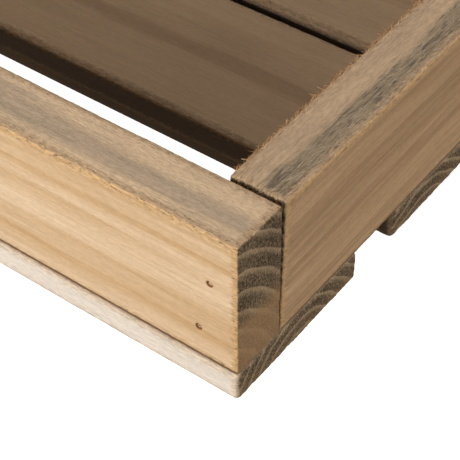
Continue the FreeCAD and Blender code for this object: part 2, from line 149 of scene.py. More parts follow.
def softbox(name, offset, size, power, colour):
    """A square area light, aimed at the corner."""
    data = bpy.data.lights.new(name, "AREA")
    data.size = size
    data.energy = power
    data.color = colour
    lamp = bpy.data.objects.new(name, data)
    lamp.matrix_world = aimed(offset, -np.array(offset))
    bpy.context.collection.objects.link(lamp)


softbox("key", (0.6, 1.5, 0.58), 0.55, 31.0, (1.0, 0.985, 0.965))
softbox("top", (0.0, -0.5, 1.8), 1.0, 20.0, (1.0, 0.995, 0.98))
softbox("side_fill", (-1.5, 0.1, 0.55), 0.9, 15.0, (1.0, 0.985, 0.96))

# ---------------------------------------------------------------------------
# Sawn pine, shared by every rail, slat and block. A board is a rounded bar: a cross-section
# carried along the grain, roughened where the saw and the weather roughen it.


def rough(points, seed, octaves=1):
    """A smooth random field between -1 and 1.

    Each lattice cell's corners get hashed values, blended by 3t^2 - 2t^3 along each axis, and
    every further octave is twice as fine and half as strong.
    """
    total, strength = np.zeros(len(points)), 1.0
    for octave in range(octaves):
        p = points * 2.0 ** octave + 11.7 * seed
        cell = np.floor(p).astype(np.int64)
        t = p - cell
        t = t * t * (3.0 - 2.0 * t)
        for dx in (0, 1):
            for dy in (0, 1):
                for dz in (0, 1):
                    key = (cell + (dx, dy, dz)).astype(np.uint64) * np.array(
                        (73856093, 19349663, 83492791), dtype=np.uint64)
                    h = (key[:, 0] ^ key[:, 1] ^ key[:, 2] ^ np.uint64(seed * 7919 + octave + 1))
                    h &= np.uint64(0xFFFFFFFF)
                    for shift, factor in ((15, 2246822519), (13, 3266489917), (16, 668265263)):
                        h = (h ^ (h >> np.uint64(shift))) * np.uint64(factor)
                        h &= np.uint64(0xFFFFFFFF)
                    share = np.where((dx, dy, dz), t, 1 - t)
                    weight = share[:, 0] * share[:, 1] * share[:, 2]
                    total += strength * weight * (h / 2147483648.0 - 1.0)
        strength *= 0.5
    return total


def stops(low, high, coarse, spots=()):
    """Positions from low to high, coarse apart, and closer inside each (centre, reach, step).

    The count of steps up to x is the integral of 1 / step; equal counts give the positions.
    """
    x = np.linspace(low, high, 4000)
    density = np.full(len(x), 1.0 / coarse)
    for centre, reach, step in spots:
        density = np.maximum(density, np.where(np.abs(x - centre) < reach, 1.0 / step, 0.0))
    count = np.concatenate([[0.0], np.cumsum((density[1:] + density[:-1]) / 2 * np.diff(x))])
    return np.interp(np.linspace(0.0, count[-1], int(math.ceil(count[-1])) + 1), count, x)


def solid_mesh(name, points, quads, triangles):
    """A smooth-shaded closed mesh, turned inside out if its signed volume comes out negative."""
    halves = np.concatenate([quads[:, :3], quads[:, [0, 2, 3]], triangles])
    a, b, c = (points[halves[:, k]] - points.mean(axis=0) for k in range(3))
    if np.einsum("ij,ij->", a, np.cross(b, c)) < 0:
        quads, triangles = quads[:, ::-1], triangles[:, ::-1]
    mesh = bpy.data.meshes.new(name)
    mesh.vertices.add(len(points))
    mesh.vertices.foreach_set("co", points.ravel())
    mesh.loops.add(quads.size + triangles.size)
    mesh.loops.foreach_set("vertex_index", np.concatenate([quads.ravel(), triangles.ravel()]))
    mesh.polygons.add(len(quads) + len(triangles))
    mesh.polygons.foreach_set("loop_start", np.concatenate(
        [np.arange(len(quads)) * 4, quads.size + np.arange(len(triangles)) * 3]))
    mesh.polygons.foreach_set("use_smooth", np.ones(len(quads) + len(triangles), dtype=bool))
    mesh.update(calc_edges=True)
    mesh.validate()
    return mesh


def closed_surface(name, rings, first_pole, last_pole):
    """A closed mesh from rings (count, around, 3), each closed round, and one point at each end."""
    count, around = rings.shape[:2]
    points = np.concatenate([rings.reshape(-1, 3), [first_pole, last_pole]])
    row = (np.arange(count - 1) * around)[:, None]
    here = np.arange(around)
    after = (here + 1) % around
    quads = np.stack([row + here, row + after, row + around + after, row + around + here], axis=-1)
    quads = quads.reshape(-1, 4)
    last = (count - 1) * around
    fans = np.concatenate([
        np.stack([after, here, np.full(around, count * around)], axis=-1),
        np.stack([last + here, last + after, np.full(around, count * around + 1)], axis=-1)])
    return solid_mesh(name, points, quads, fans)


def piece(name, mesh, body, slot, material, *nodes):
    """Puts a mesh in the scene as a piece that rides on a body and stands for CAD nodes."""
    made = bpy.data.objects.new(name, mesh)
    bpy.context.collection.objects.link(made)
    mesh.materials.append(material)
    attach(made, body)
    if nodes:
        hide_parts(*nodes)
    return made


def carry_values(mesh, name, kind, values):
    """Stores one value per point as a named attribute."""
    layer = mesh.attributes.new(name, kind, "POINT")
    layer.data.foreach_set("vector" if kind == "FLOAT_VECTOR" else "color",
                           np.asarray(values, dtype=np.float32).ravel())


def rounded_section(half_a, half_b, radius, steps_a, steps_b, arc=5):
    """A rounded rectangle's core points and outward directions, once round.

    A point of the outline is its core point plus radius times its direction; along a side the
    direction stays the same, and round a corner it turns while the core point stays.
    """
    core, out = [], []
    sides = ((0, 1, steps_b), (1, 1, -steps_a), (2, -1, -steps_b), (3, -1, steps_a))
    for quarter, sign, along in sides:
        turn = quarter * math.pi / 2
        normal = np.array((math.cos(turn), math.sin(turn)))
        upright = quarter % 2 == 0
        fixed = np.full(len(along), sign * ((half_a if upright else half_b) - radius))
        core.append(np.stack([fixed, along] if upright else [along, fixed], axis=-1))
        out.append(np.tile(normal, (len(along), 1)))
        bend = turn + np.linspace(0.0, math.pi / 2, arc + 1)[1:-1]
        core.append(np.tile(core[-1][-1], (len(bend), 1)))
        out.append(np.stack([np.cos(bend), np.sin(bend)], axis=-1))
    return np.concatenate(core), np.concatenate(out)


def smooth_step(x, low, high):
    t = np.clip((x - low) / (high - low), 0.0, 1.0)
    return t * t * (3.0 - 2.0 * t)


nail_dimple = 0.8e-3


def sawn_board(name, low, high, grain, radius, seed, step, pace, spots_along=(), spots_a=(),
               spots_b=(), nails=(), end_rings=14, fray=0.35e-3, lean=0.0, end_radius=0.8e-3):
    """A sawn board with rounded, frayed arrises and rough ends.

    Rings of the rounded section run along the grain, pace apart, with points step apart. Over
    the last end_radius the section draws in by a cosine while the ring moves on by a sine, and
    then the end face closes in towards its centre. Every point then moves along its own normal:
    long fibre ridges on the sides, fuzz on the ends, ragged loss along the arrises and a dimple
    at each nail (axis, side, along, across). lean tilts the far end's face, so that a butt joint
    opens towards the top.
    """
    order = [grain, 1 - grain, 2]
    centre = (np.array(low) + np.array(high)) / 2
    half = ((np.array(high) - np.array(low)) / 2)[order]
    length, a, b = half
    core, out = rounded_section(a, b, radius, stops(-(a - radius), a - radius, step, spots_a),
                                stops(-(b - radius), b - radius, step, spots_b))
    straight = length - end_radius
    body = stops(-straight, straight, pace, spots_along)
    bend = np.linspace(0.0, math.pi / 2, 5)[1:]
    shrink = np.linspace(1.0, 0.0, end_rings)[1:-1]
    along = np.concatenate([body, straight + end_radius * np.sin(bend),
                            np.full(len(shrink), length)])
    drawn = np.concatenate([np.zeros(len(body)), end_radius * (1.0 - np.cos(bend)),
                            np.full(len(shrink), end_radius)])
    keep = np.concatenate([np.ones(len(body) + len(bend)), shrink])
    facing = np.concatenate([np.zeros(len(body)), np.sin(bend), np.ones(len(shrink))])
    closing = len(bend) + len(shrink)
    along, drawn, keep, facing = (
        np.concatenate([sign * values[:-closing - 1:-1], values])
        for sign, values in ((-1, along), (1, drawn), (1, keep), (-1, facing)))

    shape = (len(along), len(core))
    local = np.zeros(shape + (3,))
    local[..., 0] = along[:, None]
    local[..., 1:] = keep[:, None, None] * (core + (radius - drawn[:, None, None]) * out)
    normal = np.zeros(shape + (3,))
    normal[..., 0] = facing[:, None]
    normal[..., 1:] = np.sqrt(1.0 - facing[:, None, None] ** 2) * out
    flat, facing_out = local.reshape(-1, 3), normal.reshape(-1, 3)
    poles = np.array([(-length, 0.0, 0.0), (length, 0.0, 0.0)])
    flat = np.concatenate([flat, poles])
    facing_out = np.concatenate([facing_out, [(-1.0, 0.0, 0.0), (1.0, 0.0, 0.0)]])

    size = np.abs(facing_out)
    end = smooth_step(size[:, 0], 0.5, 0.95)
    edge = 1.0 - smooth_step(size.max(axis=1), 0.86, 1.0)
    near = np.minimum.reduce([
        np.hypot(a - np.abs(flat[:, 1]), b - np.abs(flat[:, 2])),
        np.hypot(length - np.abs(flat[:, 0]), b - np.abs(flat[:, 2])),
        np.hypot(length - np.abs(flat[:, 0]), a - np.abs(flat[:, 1]))])
    shoulder = 1.0 - smooth_step(near, 0.6e-3, 5.0e-3)

    ridges = rough(flat * (25.0, 420.0, 420.0), seed, 2)
    saw = rough(flat * (60.0, 90.0, 90.0), seed + 3, 2)
    nap = rough(flat * (330.0, 800.0, 800.0), seed + 9, 1)
    fuzz = rough(flat * 900.0, seed + 5, 1)
    fray_noise = rough(flat * (330.0, 520.0, 520.0), seed + 7, 3)
    tops = np.clip(facing_out[:, 2], 0.0, 1.0)
    move = (1.0 - end) * ((0.05e-3 + 0.07e-3 * tops) * ridges + 0.05e-3 * saw
                          + (0.03e-3 + 0.05e-3 * tops) * nap)
    move += end * (0.16e-3 * fuzz + 0.06e-3 * saw)
    move -= fray * np.maximum(edge, 0.5 * shoulder ** 2) * (0.2 + np.abs(fray_noise))

    stain = np.zeros(len(flat))
    for axis, side, nail_along, nail_across in nails:
        reach = np.hypot(flat[:, 0] - nail_along, flat[:, 3 - axis] - nail_across)
        on_face = smooth_step(side * facing_out[:, axis], 0.6, 0.9)
        move -= on_face * nail_dimple * (1.0 - smooth_step(reach, 0.6e-3, 1.5e-3))
        stain = np.maximum(stain, on_face * (1.0 - smooth_step(reach, 0.7e-3, 1.9e-3)))

    moved = flat + facing_out * move[:, None]
    moved[:, 0] -= lean * smooth_step(flat[:, 0], length - 0.03, length) * flat[:, 2] / b
    world_points = np.zeros_like(moved)
    world_points[:, order] = centre[order] + moved
    mesh = closed_surface(name, world_points[:-2].reshape(shape + (3,)), *world_points[-2:])
    carry_values(mesh, "board", "FLOAT_VECTOR", flat)
    weathered = smooth_step(facing_out[:, 2], 0.45, 0.95)
    carry_values(mesh, "wear", "FLOAT_COLOR",
                 np.stack([np.maximum(edge, 0.7 * shoulder), end, stain, weathered], axis=-1))
    return mesh


def socket_group(name, inputs, outputs):
    """A new shader node group with named float (f) and vector (v) sockets."""
    group = bpy.data.node_groups.new(name, "ShaderNodeTree")
    kinds = {"f": "NodeSocketFloat", "v": "NodeSocketVector"}
    for label, kind in inputs:
        group.interface.new_socket(name=label, in_out="INPUT", socket_type=kinds[kind])
    for label, kind in outputs:
        group.interface.new_socket(name=label, in_out="OUTPUT", socket_type=kinds[kind])
    return group, group.nodes.new("NodeGroupInput"), group.nodes.new("NodeGroupOutput")


def own_place(tree):
    return add(tree, "ShaderNodeTexCoord").outputs["Object"]


def math_node(tree, operation, a, b=0.0, clamp=False):
    return add(tree, "ShaderNodeMath", {0: a, 1: b}, operation=operation,
               use_clamp=clamp).outputs[0]


def plus(tree, a, b, clamp=False):
    return math_node(tree, "ADD", a, b, clamp)


def minus(tree, a, b):
    return math_node(tree, "SUBTRACT", a, b)


def times(tree, a, b):
    return math_node(tree, "MULTIPLY", a, b)


def mixed(tree, factor, a, b, blend="MIX"):
    """A colour mix; a and b are sockets or colours of three numbers."""
    node = add(tree, "ShaderNodeMix", data_type="RGBA", blend_type=blend)
    for index, value in ((0, factor), (6, a), (7, b)):
        if isinstance(value, bpy.types.NodeSocket):
            tree.links.new(value, node.inputs[index])
        else:
            node.inputs[index].default_value = (*value, 1.0) if index else value
    return node.outputs[2]


def ramp(tree, value, low, high):
    """0 at low, 1 at high, eased and clamped between."""
    return add(tree, "ShaderNodeMapRange", {"Value": value, "From Min": low, "From Max": high},
               interpolation_type="SMOOTHSTEP").outputs[0]


def line(tree, value, to_low, to_high, low=0.0, high=1.0):
    """to_low at low, to_high at high, straight and clamped between."""
    return add(tree, "ShaderNodeMapRange", {"Value": value, "From Min": low, "From Max": high,
                                            "To Min": to_low, "To Max": to_high}).outputs[0]


def stretched_noise(tree, vector, scale, detail, roughness=0.55, distortion=0.0):
    """Noise whose cells are 1 / scale long on each of the three axes."""
    mapped = add(tree, "ShaderNodeMapping", {"Vector": vector, "Scale": scale})
    return add(tree, "ShaderNodeTexNoise", {
        "Vector": mapped.outputs[0], "Scale": 1.0, "Detail": detail, "Roughness": roughness,
        "Distortion": distortion}).outputs["Fac"]


def finished(material, tree, colour, gloss, height, relief, specular=0.5, metallic=0.0, coat=0.0):
    """Ends a material in one Principled shader. relief is the bump's (strength, distance)."""
    bump = add(tree, "ShaderNodeBump", {"Strength": relief[0], "Distance": relief[1],
                                        "Height": height})
    shader = add(tree, "ShaderNodeBsdfPrincipled", {
        "Base Color": colour, "Roughness": gloss, "Normal": bump.outputs[0],
        "Specular IOR Level": specular, "Metallic": metallic, "Coat Weight": coat})
    tree.links.new(shader.outputs[0], output_of(tree).inputs["Surface"])
    return material


def off_axis(tree, place):
    """How far a place lies from the X axis."""
    flat = add(tree, "ShaderNodeVectorMath", {0: place, 1: (0.0, 1.0, 1.0)}, operation="MULTIPLY")
    length = add(tree, "ShaderNodeVectorMath", {0: flat.outputs[0]}, operation="LENGTH")
    return length.outputs["Value"]


def pine_figure_group():
    """Growth rings round a pith that runs along the grain, and the fibres between them.

    Ring: 0 in the pale early wood, rising to 1 in the dark late wood, then falling sharply.
    Fibre: fine streaks along the grain. Broad: slow change of tone. Nap: short raised fibres.
    Pores: specks on sawn ends.
    """
    group, given, result = socket_group(
        "pine_figure",
        (("Board", "v"), ("Pith", "v"), ("Ring Width", "f"), ("Wander", "f")),
        (("Ring", "f"), ("Fibre", "f"), ("Broad", "f"), ("Nap", "f"), ("Pores", "f")))
    board, pith = given.outputs["Board"], given.outputs["Pith"]
    from_pith = add(group, "ShaderNodeVectorMath", {0: board, 1: pith}, operation="SUBTRACT")
    distance = off_axis(group, from_pith.outputs[0])
    shifted = add(group, "ShaderNodeVectorMath", {0: from_pith.outputs[0], 1: (0.37, 0.11, 0.83)},
                  operation="ADD").outputs[0]
    slow = stretched_noise(group, shifted, (5.0, 22.0, 22.0), 2.0)
    quick = stretched_noise(group, shifted, (22.0, 130.0, 130.0), 2.0)
    reach = given.outputs["Wander"]
    wander = plus(group, times(group, minus(group, slow, 0.5), reach),
                  times(group, minus(group, quick, 0.5), times(group, reach, 0.09)))
    phase = math_node(group, "DIVIDE", plus(group, distance, wander), given.outputs["Ring Width"])
    part = math_node(group, "FRACT", phase)
    rise = math_node(group, "POWER", part, 2.2)
    fall = minus(group, 1.0, ramp(group, part, 0.86, 1.0))
    group.links.new(times(group, rise, fall), result.inputs["Ring"])
    for label, scale, detail, roughness in (("Fibre", (26.0, 900.0, 900.0), 4.0, 0.65),
                                            ("Broad", (3.0, 85.0, 85.0), 3.0, 0.55),
                                            ("Nap", (380.0, 1500.0, 1500.0), 3.0, 0.7),
                                            ("Pores", (1200.0, 1200.0, 800.0), 3.0, 0.75)):
        group.links.new(stretched_noise(group, shifted, scale, detail, roughness),
                        result.inputs[label])
    return group


pine_figure = pine_figure_group()


def figure_in(tree, board, pith, ring_width, wander=0.012):
    return add(tree, "ShaderNodeGroup", {"Board": board, "Pith": pith, "Ring Width": ring_width,
                                         "Wander": wander}, node_tree=pine_figure).outputs


def sawn_pine(name, pith, ring_width, wander, side, top, end, half, figure_depth, naps,
              arris_depth=0.7, grey_band=(0.0, 0.004, 0.5), patches=0.5, cracks=0.0, seam_shade=0.0,
              gap_shade=0.0):
    """Sawn pine that has stood outdoors: side and top give (pale, dark, fibre) colours, and end
    gives (pale, dark) for its upper half and (dark, pale) for its lower half.

    half is the board's half width and half height. naps gives how strongly raised fibres show on
    the sides and on the top. grey_band is a grey stripe's centre across the top, its half width
    and its depth; patches is the depth of loose grey patches and cracks that of the dark checks
    in them. The last two arguments paint shade into the colour: the first darkens the foot of
    the sides, where the next board meets them and shades them, and the second darkens the faces
    across the board, which stand in the shade of the gaps between slats.

    The board's own coordinates and wear come from its attributes.
    """
    material, tree = node_material(name)
    board = add(tree, "ShaderNodeAttribute", attribute_name="board").outputs["Vector"]
    wear_node = add(tree, "ShaderNodeAttribute", attribute_name="wear")
    wear = add(tree, "ShaderNodeSeparateColor", {0: wear_node.outputs["Color"]}).outputs
    edge, ends, stain, sky = wear[0], wear[1], wear[2], wear_node.outputs["Alpha"]
    place_on = add(tree, "ShaderNodeSeparateXYZ", {0: board}).outputs
    across, up = place_on[1], place_on[2]
    ring, fibre, broad, nap, pores = figure_in(tree, board, pith, ring_width, wander)

    def part_of(value, share):
        return times(tree, value, share)

    fine = ramp(tree, fibre, 0.35, 0.65)
    slow = ramp(tree, broad, 0.3, 0.7)
    side_tone = plus(tree, part_of(ring, figure_depth), part_of(slow, 0.8), clamp=True)
    side_colour = mixed(tree, side_tone, side[0], side[1])
    side_colour = mixed(tree, part_of(fine, 0.7), side_colour, side[2], "MULTIPLY")

    patch_noise = stretched_noise(tree, board, (14.0, 110.0, 110.0), 4.0, 0.65)
    drift = part_of(minus(tree, patch_noise, 0.5), 0.018)
    off_band = math_node(tree, "ABSOLUTE", minus(tree, plus(tree, across, drift), grey_band[0]))
    in_band = part_of(ramp(tree, off_band, 1.5 * grey_band[1], 0.6 * grey_band[1]), grey_band[2])
    loose = part_of(ramp(tree, patch_noise, 0.5, 0.66), patches)
    grey_patch = math_node(tree, "MAXIMUM", loose, in_band)
    top_tone = plus(tree, plus(tree, part_of(ring, 0.2), part_of(slow, 0.3)), grey_patch,
                    clamp=True)
    top_colour = mixed(tree, top_tone, top[0], top[1])
    top_colour = mixed(tree, part_of(fine, 0.5), top_colour, top[2], "MULTIPLY")
    net = ramp(tree, stretched_noise(tree, board, (70.0, 750.0, 750.0), 4.0, 0.65, 1.2), 0.47, 0.60)
    net = times(tree, net, part_of(grey_patch, cracks))
    top_colour = mixed(tree, net, top_colour, (0.10, 0.075, 0.052))

    speck = ramp(tree, pores, 0.47, 0.57)
    low_part = ramp(tree, plus(tree, up, part_of(broad, 0.012)), 0.008, -0.006)
    end_dark = mixed(tree, low_part, end[1], end[2])
    end_pale = mixed(tree, low_part, end[0], end[3])
    end_tone = plus(tree, part_of(ramp(tree, ring, 0.12, 0.7), 0.75), part_of(slow, 0.25),
                    clamp=True)
    end_colour = mixed(tree, end_tone, end_dark, end_pale)
    pits = times(tree, minus(tree, 1.0, speck), minus(tree, 1.0, part_of(end_tone, 0.75)))
    pits = times(tree, pits, minus(tree, 0.9, part_of(low_part, 0.6)))
    end_colour = mixed(tree, pits, end_colour, (0.045, 0.030, 0.018))
    tuft = ramp(tree, stretched_noise(tree, board, (1100.0, 1500.0, 700.0), 3.0, 0.7), 0.56, 0.68)
    end_colour = mixed(tree, part_of(tuft, 0.45), end_colour, (0.50, 0.385, 0.25))

    nibble = stretched_noise(tree, board, (420.0, 900.0, 900.0), 4.0, 0.7)
    band = ramp(tree, plus(tree, edge, part_of(minus(tree, nibble, 0.5), 1.6)), 0.22, 0.6)
    nick = ramp(tree, stretched_noise(tree, board, (500.0, 1100.0, 1100.0), 3.0, 0.7), 0.55, 0.66)
    colour = mixed(tree, sky, side_colour, top_colour)
    # Painted shade: the faces across the board and their arrises darken towards the gaps between
    # slats, where the neighbouring boards keep the light off.
    shaded = ramp(tree, math_node(tree, "ABSOLUTE", across), half[0] - 3.5e-3, half[0] - 1.2e-3)
    colour = mixed(tree, part_of(shaded, gap_shade), colour, (0.085, 0.050, 0.027))
    arris_colour = mixed(tree, sky, (0.60, 0.385, 0.185), (0.41, 0.275, 0.165))
    arris_colour = mixed(tree, part_of(nick, 0.7), arris_colour, (0.09, 0.055, 0.032))
    colour = mixed(tree, part_of(band, arris_depth), colour, arris_colour)
    # Painted shade: a dark brown line along the foot of the sides, standing in for the shadow where
    # the board meets the next one.
    foot = ramp(tree, up, 2.2e-3 - half[1], 1.7e-3 - half[1])
    colour = mixed(tree, part_of(foot, seam_shade), colour, (0.16, 0.088, 0.05))
    colour = mixed(tree, ends, colour, end_colour)
    grain_dark = ramp(tree, nap, 0.30, 0.70)
    nap_depth = plus(tree, part_of(sky, naps[1] - naps[0]), naps[0])
    nap_depth = plus(tree, nap_depth, part_of(edge, 0.4))
    napped = mixed(tree, nap_depth, (1.0, 1.0, 1.0),
                   mixed(tree, grain_dark, (0.45, 0.42, 0.38), (1.45, 1.42, 1.36)))
    colour = mixed(tree, 1.0, colour, napped, "MULTIPLY")
    colour = mixed(tree, ramp(tree, stain, 0.15, 0.5), colour, (0.20, 0.075, 0.025))
    colour = mixed(tree, ramp(tree, stain, 0.82, 1.0), colour, (0.62, 0.42, 0.26))

    rise = plus(tree, part_of(fibre, 0.3), part_of(ring, 0.15))
    rise = plus(tree, rise, times(tree, nap, part_of(nap_depth, 1.2)))
    height = plus(tree, rise, part_of(times(tree, speck, ends), 1.1))
    return finished(material, tree, colour, line(tree, fibre, 0.72, 0.9), height, (0.7, 0.6e-3),
                    specular=0.25)


# ---------------------------------------------------------------------------
# The end rails: boards on edge across both ends, each nailed through its face into the ends of
# the side rails. Honey coloured at the sides, greyed by the weather on top.
rail_radius = 1.1e-3
nail_insets = ((0.0115, 0.039), (0.0165, 0.015))
nail_spot = 3.2e-3
far_step = 2.4e-3
seen_rail_end = 0.118
honey = ((0.80, 0.615, 0.42), (0.60, 0.385, 0.20), (0.90, 0.86, 0.81))
greyed = ((0.57, 0.405, 0.258), (0.36, 0.272, 0.19), (0.90, 0.88, 0.86))
end_grey = ((0.56, 0.40, 0.24), (0.27, 0.185, 0.105), (0.46, 0.275, 0.135), (0.50, 0.31, 0.16))
end_rail_half = (rail_high.x - rail_low.x) / 2
rail_half_height = (rail_high.z - rail_low.z) / 2

for node, side, seed in (("end_rail_rear", 1, 3), ("end_rail_front", -1, 21)):
    low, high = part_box(node)
    nails, spots, rows = [], [], []
    for inset, height in nail_insets:
        for end in (-1, 1):
            nails.append((1, side, end * (end_rail_half - inset), height - rail_half_height))
            spots.append((end * (end_rail_half - inset), nail_spot, 0.45e-3))
        rows.append((height - rail_half_height, nail_spot, 0.5e-3))
    if side > 0:
        spots.append((-end_rail_half, seen_rail_end, 0.7e-3))
    mesh = sawn_board(node + "_board", low, high, 0, rail_radius, seed,
                      0.8e-3 if side > 0 else far_step, 2.4e-3, spots_along=spots, spots_b=rows,
                      nails=nails, end_rings=22 if side > 0 else 12)
    pine = sawn_pine(node + "_pine", (0.0, 0.0415 * side, -0.049), 0.0074, 0.012, honey, greyed,
                     end_grey, half=((high.y - low.y) / 2, rail_half_height), figure_depth=0.34,
                     naps=(0.16, 0.32), arris_depth=0.95, cracks=0.3,
                     grey_band=(0.002 * side, 0.004, 0.45), seam_shade=0.95)
    piece(node + "_board", mesh, "tray", "rail_pine", pine, node)


def plain_metal(name, colour, rust, roughness, patchiness, metallic=1.0):
    """Small steel parts: mottled colour and gloss, with fine scratches in the relief."""
    material, tree = node_material(name)
    place = own_place(tree)
    cloudy = ramp(tree, stretched_noise(tree, place, (520.0, 520.0, 520.0), 3.0, 0.6), 0.38, 0.6)
    scratch = stretched_noise(tree, place, (900.0, 120.0, 2200.0), 2.0, 0.6)
    tone = mixed(tree, times(tree, cloudy, patchiness), colour, rust)
    gloss = line(tree, cloudy, roughness - 0.08, roughness + 0.14)
    return finished(material, tree, tone, gloss, scratch, (0.25, 0.2e-3), metallic=metallic)


def finish_nodes(material, *nodes):
    """Gives CAD nodes a material in place of their plain one."""
    for node in nodes:
        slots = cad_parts[node].data.materials
        slots.clear()
        slots.append(material)


finish_nodes(plain_metal("browned_nail", (0.66, 0.47, 0.31), (0.13, 0.045, 0.018), 0.6, 1.0, 0.2),
             "corner_nails", "slat_nails")

# ---------------------------------------------------------------------------
# The side rails: the same boards, lengthwise, butted against the end rails' inner faces.
tan = ((0.60, 0.40, 0.23), (0.375, 0.23, 0.125), (0.80, 0.74, 0.68))
pinkish = ((0.455, 0.315, 0.20), (0.27, 0.20, 0.13), (0.86, 0.83, 0.80))
seen_side_end = 0.158
joint_lean = 0.6e-3

for node, side, seed in (("side_rail_right", -1, 5), ("side_rail_left", 1, 29)):
    low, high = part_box(node)
    spots = [((high.y - low.y) / 2, seen_side_end, 0.8e-3)] if side < 0 else []
    mesh = sawn_board(node + "_board", low, high, 1, rail_radius, seed,
                      0.9e-3 if side < 0 else far_step, 2.6e-3, spots_along=spots, end_rings=12,
                      lean=joint_lean)
    pine = sawn_pine(node + "_pine", (0.0, 0.06 * side, -0.09), 0.0068, 0.03, tan, pinkish,
                     end_grey, half=((high.x - low.x) / 2, rail_half_height), figure_depth=0.28,
                     naps=(0.16, 0.34), grey_band=(0.0056 * side, 0.0050, 0.9), patches=0.2,
                     cracks=0.9, seam_shade=0.7)
    piece(node + "_board", mesh, "tray", "rail_pine", pine, node)

# ---------------------------------------------------------------------------
# Raised fibres: splinters torn up along the rails' top arrises and hairs lifted by the weather
# on their tops. Each is a three-sided sliver with its root below the surface.
fibre_rings = 6


def raised_fibres(name, roots, ways, lifts, lengths, widths, seed):
    """Many slivers as one mesh.

    A sliver runs from its root along its way, rises by lift times t^1.5 and bends sideways by a
    share of its length; its radius falls as the square root of 1 - t.
    """
    count = len(roots)
    random = np.random.default_rng(seed)
    t = np.linspace(0.0, 1.0, fibre_rings)[None, :, None]
    up = np.array((0.0, 0.0, 1.0))
    beside = np.cross(ways, up)
    bend = random.uniform(-0.22, 0.22, (count, 1, 1)) * lengths[:, None, None]
    spine = (roots[:, None] + ways[:, None] * lengths[:, None, None] * t
             + up * (lifts[:, None, None] * t ** 1.5 - 0.25e-3) + beside[:, None] * bend * t ** 2)
    radius = widths[:, None] * np.sqrt(1.0 - 0.93 * t[..., 0])
    corner_turn = np.arange(3) * 2 * math.pi / 3
    ring = (np.cos(corner_turn)[None, :, None] * beside[:, None]
            + np.sin(corner_turn)[None, :, None] * up)
    points = (spine[:, :, None] + radius[:, :, None, None] * ring[:, None]).reshape(-1, 3)
    base = (np.arange(count) * fibre_rings * 3)[:, None, None]
    row = (np.arange(fibre_rings - 1) * 3)[None, :, None]
    here = base + row + np.arange(3)
    after = base + row + (np.arange(3) + 1) % 3
    quads = np.stack([here, after, after + 3, here + 3], axis=-1).reshape(-1, 4)
    first = base[:, 0, 0]
    last = first + (fibre_rings - 1) * 3
    caps = np.concatenate([np.stack([first + 2, first + 1, first], axis=-1),
                           np.stack([last, last + 1, last + 2], axis=-1)])
    mesh = solid_mesh(name, points, quads, caps)
    shade = np.repeat(random.uniform(0.0, 1.0, count), fibre_rings * 3)
    grey = np.repeat(lifts < 0.9e-3, fibre_rings * 3)
    carry_values(mesh, "wear", "FLOAT_COLOR", np.stack([shade, grey, shade, shade], axis=-1))
    return mesh


def fibre_material(name):
    """Splinters are orange inside; weathered hairs are straw grey. Each has its own tone."""
    material, tree = node_material(name)
    wear = add(tree, "ShaderNodeAttribute", attribute_name="wear")
    parts = add(tree, "ShaderNodeSeparateColor", {0: wear.outputs["Color"]}).outputs
    place = own_place(tree)
    fleck = ramp(tree, stretched_noise(tree, place, (700.0, 700.0, 700.0), 3.0), 0.35, 0.65)
    torn = mixed(tree, parts[0], (0.36, 0.19, 0.08), (0.58, 0.36, 0.18))
    hair = mixed(tree, parts[0], (0.30, 0.235, 0.16), (0.56, 0.46, 0.34))
    tone = mixed(tree, parts[1], torn, hair)
    tone = mixed(tree, times(tree, fleck, 0.4), tone, (0.8, 0.76, 0.72), "MULTIPLY")
    return finished(material, tree, tone, 0.85, fleck, (0.3, 0.1e-3), specular=0.2)


torn_fibre = fibre_material("torn_fibre")
for node, inner, seed, splinters, hairs in (("side_rail_right", 1, 61, 1000, 800),
                                            ("side_rail_left", -1, 62, 240, 200)):
    low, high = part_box(node)
    random = np.random.default_rng(seed)
    count = splinters + hairs
    at_arris = np.arange(count) < splinters
    middle, half = (low.x + high.x) / 2, (high.x - low.x) / 2
    along = low.y + (high.y - low.y) * (0.02 + 0.975 * random.uniform(0.0, 1.0, count) ** 0.5)
    torn_at = middle + inner * (half - random.uniform(0.1e-3, 1.3e-3, count))
    lifted_at = middle - inner * half * random.uniform(0.1, 0.9, count)
    roots = np.stack([np.where(at_arris, torn_at, lifted_at), along,
                      high.z - at_arris * random.uniform(0.1e-3, 0.7e-3, count)], axis=-1)
    spread = np.where(at_arris, random.uniform(0.0, 0.75, count) * inner,
                      random.normal(0.0, 0.22, count))
    heading = np.where(random.uniform(0.0, 1.0, count) < 0.5, 1.0, -1.0)
    ways = np.stack([np.sin(spread), heading * np.cos(spread), np.zeros(count)], axis=-1)
    lifts = np.where(at_arris, random.uniform(0.9e-3, 1.6e-3, count),
                     random.uniform(0.3e-3, 0.8e-3, count))
    lengths = np.where(at_arris, 0.8e-3 + 4.0e-3 * random.uniform(0.0, 1.0, count) ** 4,
                       random.uniform(2.5e-3, 8.0e-3, count))
    widths = np.where(at_arris, random.uniform(0.12e-3, 0.30e-3, count),
                      random.uniform(0.08e-3, 0.18e-3, count))
    mesh = raised_fibres(node + "_fibres", roots, ways, lifts, lengths, widths, seed)
    piece(node + "_fibres", mesh, "tray", "rail_pine", torn_fibre)

# ---------------------------------------------------------------------------
# The slats: thinner boards across the bottom, nailed up into the rails, with eased long edges.
pale = ((0.92, 0.835, 0.745), (0.76, 0.67, 0.575), (0.91, 0.88, 0.85))
# The slats' top colour is painted shade: it is darkened to stand for the shade inside the tray,
# where the rails keep the key light off the slats.
brown = ((0.30, 0.20, 0.118), (0.215, 0.136, 0.076), (0.92, 0.90, 0.88))
slat_nail_inset = 0.018
slat_radius = 2.2e-3
slat_end_radius = 2.1e-3
seen_slat_end = {8: 0.23, 9: 0.12}
seen_slat_step = {8: 1.3e-3, 9: 0.95e-3}
side_low, side_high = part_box("side_rail_right")
nail_column = end_rail_half - (side_high.x - side_low.x) / 2

